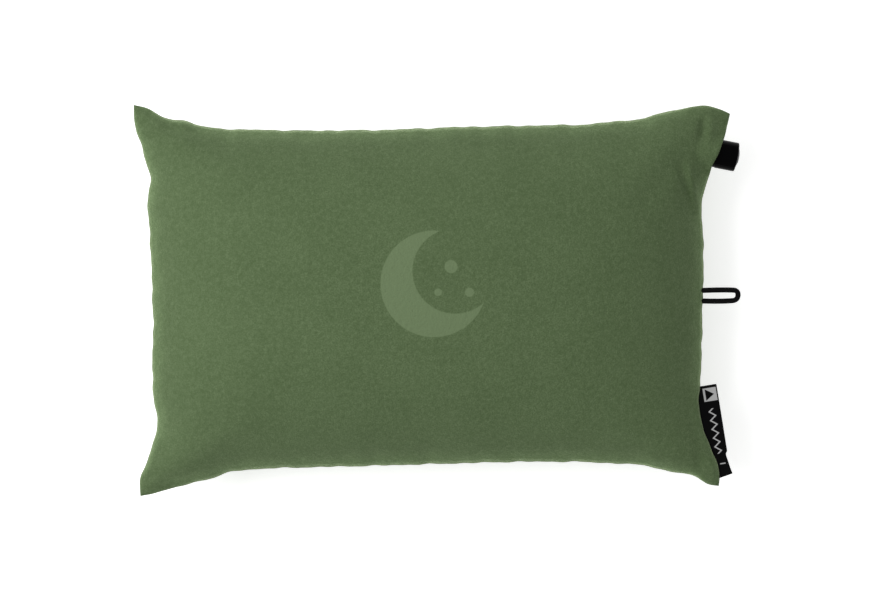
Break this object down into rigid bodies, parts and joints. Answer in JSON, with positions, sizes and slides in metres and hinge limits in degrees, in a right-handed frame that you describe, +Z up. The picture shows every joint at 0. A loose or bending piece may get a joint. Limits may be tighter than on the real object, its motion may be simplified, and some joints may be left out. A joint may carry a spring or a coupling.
{
  "type": "camp pillow",
  "caption": "Inflatable camping pillow in a soft fabric case, with a foam top, a twist valve at one corner and a hang loop.",
  "frame": {"origin": "on the floor, in the middle of the flat foot that the back panel rests on", "axes": "+X along the long side towards the valve end, +Y across towards the valve's corner, +Z up through the top panel"},
  "size_m": [0.4372, 0.28, 0.1],
  "materials": {
    "case_fabric": "short-napped olive green microsuede, matte",
    "label_tape": "black woven tape with pale grey woven motif",
    "care_label": "plain white satin tape",
    "sack_cloth": "thin plain-weave nylon",
    "cord": "black braided elastic cord",
    "thread": "black thread",
    "foam": "open-cell foam",
    "bladder_cloth": "coated polyester, low sheen",
    "valve_plastic": "black moulded plastic",
    "knob_plastic": "glossy black moulded plastic",
    "seal_rubber": "black rubber",
    "spring_steel": "plain spring steel"
  },
  "bodies": {
    "pillow": {"case_top_panel": "case_fabric", "case_back_panel_left": "case_fabric", "case_back_panel_right": "case_fabric", "case_seam_overlock": "case_fabric", "side_label": "label_tape", "care_label": "care_label", "stuff_sack": "sack_cloth", "hang_loop": "cord", "hang_loop_tack": "thread", "foam_pad": "foam", "bladder_top_skin": "bladder_cloth", "bladder_bottom_skin": "bladder_cloth", "bladder_baffle_1": "bladder_cloth", "bladder_baffle_2": "bladder_cloth", "bladder_baffle_3": "bladder_cloth", "valve_boat": "valve_plastic", "valve_gasket": "seal_rubber", "valve_body": "valve_plastic"},
    "poppet": {"valve_poppet": "valve_plastic", "valve_poppet_oring": "seal_rubber", "valve_clip": "spring_steel"},
    "knob": {"valve_knob": "knob_plastic", "valve_end_cap": "knob_plastic"}
  },
  "joints": [
    {"name": "poppet_lift", "type": "slide", "parent": "pillow", "child": "poppet", "axis": [0.9816, -0.1908, 0], "range_m": [0, 0.0035]},
    {"name": "knob_turn", "type": "hinge", "parent": "poppet", "child": "knob", "pos_m": [0.2053, 0.1054, 0.046], "axis": [0.9816, -0.1908, 0], "range_deg": [0, 150]}
  ],
  "couplings": [
    {"joint": "knob_turn", "follows": "poppet_lift", "rad_per_m": 748}
  ]
}
